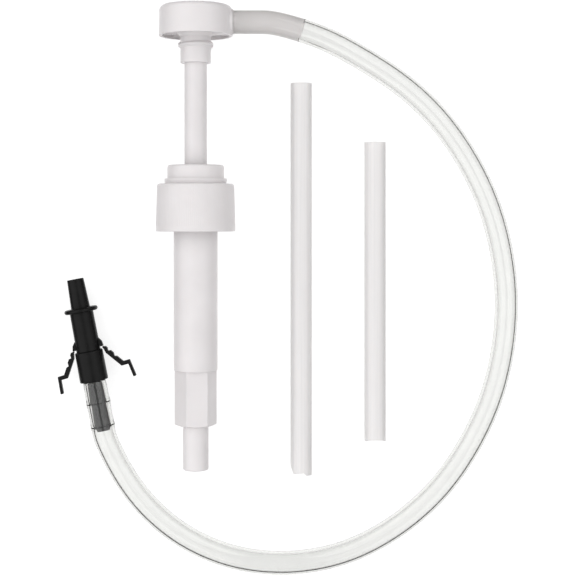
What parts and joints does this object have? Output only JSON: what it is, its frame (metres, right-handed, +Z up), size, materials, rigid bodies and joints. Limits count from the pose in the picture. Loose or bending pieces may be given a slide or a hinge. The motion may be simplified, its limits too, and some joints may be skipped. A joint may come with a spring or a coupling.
{
  "type": "gear oil pump",
  "caption": "Hand pump with screw cap, push-down plunger head, clear hose, black filler nozzle with two retaining arms, and two loose dip tubes.",
  "frame": {"origin": "on the surface that everything lies on, under the centre of the rectangle that the pump and the two dip tubes cover", "axes": "+Z up out of the surface, +Y along the pump from its spigot to its head, +X the way the spout points"},
  "size_m": [0.2507, 0.3083, 0.0424],
  "materials": {
    "white_moulding": "white polypropylene, satin moulded surface",
    "seal_white": "soft off-white polyethylene",
    "gasket_foam": "pale foamed polyethylene",
    "spring_steel": "stainless spring wire",
    "ball_steel": "polished stainless ball",
    "tube_natural": "natural polyethylene tube, slightly translucent",
    "hose_clear": "clear PVC hose",
    "nozzle_black": "black moulded plastic, satin"
  },
  "bodies": {
    "plunger": {"actuator_head": "white_moulding", "stem": "white_moulding", "piston": "seal_white", "outlet_valve_seat": "white_moulding", "hose": "hose_clear", "hose_barb": "nozzle_black", "nozzle_sleeve": "nozzle_black", "nozzle_body": "nozzle_black"},
    "gasket": {"cap_gasket": "gasket_foam"},
    "housing": {"pump_housing": "white_moulding", "guide_collar": "white_moulding", "stem_wiper": "seal_white", "inlet_ball_cage": "white_moulding", "return_spring": "spring_steel"},
    "closure": {"screw_cap": "white_moulding"},
    "inlet_ball": {"inlet_check_ball": "ball_steel"},
    "outlet_ball": {"outlet_check_ball": "ball_steel"},
    "right_arm": {"arm_right": "nozzle_black"},
    "left_arm": {"arm_left": "nozzle_black"},
    "long_tube": {"dip_tube_long": "tube_natural"},
    "short_tube": {"dip_tube_short": "tube_natural"}
  },
  "joints": [
    {"name": "plunger_stroke", "type": "slide", "parent": "plunger", "child": "gasket", "axis": [0, 1, 0], "range_m": [0, 0.06], "stiffness_N_per_m": 280, "springref_m": -0.05, "deforming": ["return_spring"]},
    {"name": "plunger_swivel", "type": "hinge", "parent": "gasket", "child": "housing", "pos_m": [-0.0408, 0.02845, 0.0212], "axis": [0, 1, 0], "continuous": true},
    {"name": "closure_spin", "type": "hinge", "parent": "housing", "child": "closure", "pos_m": [-0.0408, 0.01865, 0.0212], "axis": [0, 1, 0], "continuous": true},
    {"name": "inlet_ball_lift", "type": "slide", "parent": "housing", "child": "inlet_ball", "axis": [0, 1, 0], "range_m": [0, 0.0025]},
    {"name": "outlet_ball_lift", "type": "slide", "parent": "plunger", "child": "outlet_ball", "axis": [0, 1, 0], "range_m": [0, 0.0025]},
    {"name": "right_arm_flex", "type": "hinge", "parent": "plunger", "child": "right_arm", "pos_m": [-0.09181, -0.05686, 0.00905], "axis": [0, 0, -1], "range_deg": [-5, 18], "stiffness_Nm_per_rad": 0.05},
    {"name": "left_arm_flex", "type": "hinge", "parent": "plunger", "child": "left_arm", "pos_m": [-0.10813, -0.05993, 0.00905], "axis": [0, 0, 1], "range_deg": [-16, 6.5], "stiffness_Nm_per_rad": 0.05},
    {"name": "long_tube_lift", "type": "slide", "parent": "plunger", "child": "long_tube", "axis": [0, 0, 1], "range_m": [0, 0.1]},
    {"name": "short_tube_lift", "type": "slide", "parent": "plunger", "child": "short_tube", "axis": [0, 0, 1], "range_m": [0, 0.1]}
  ]
}
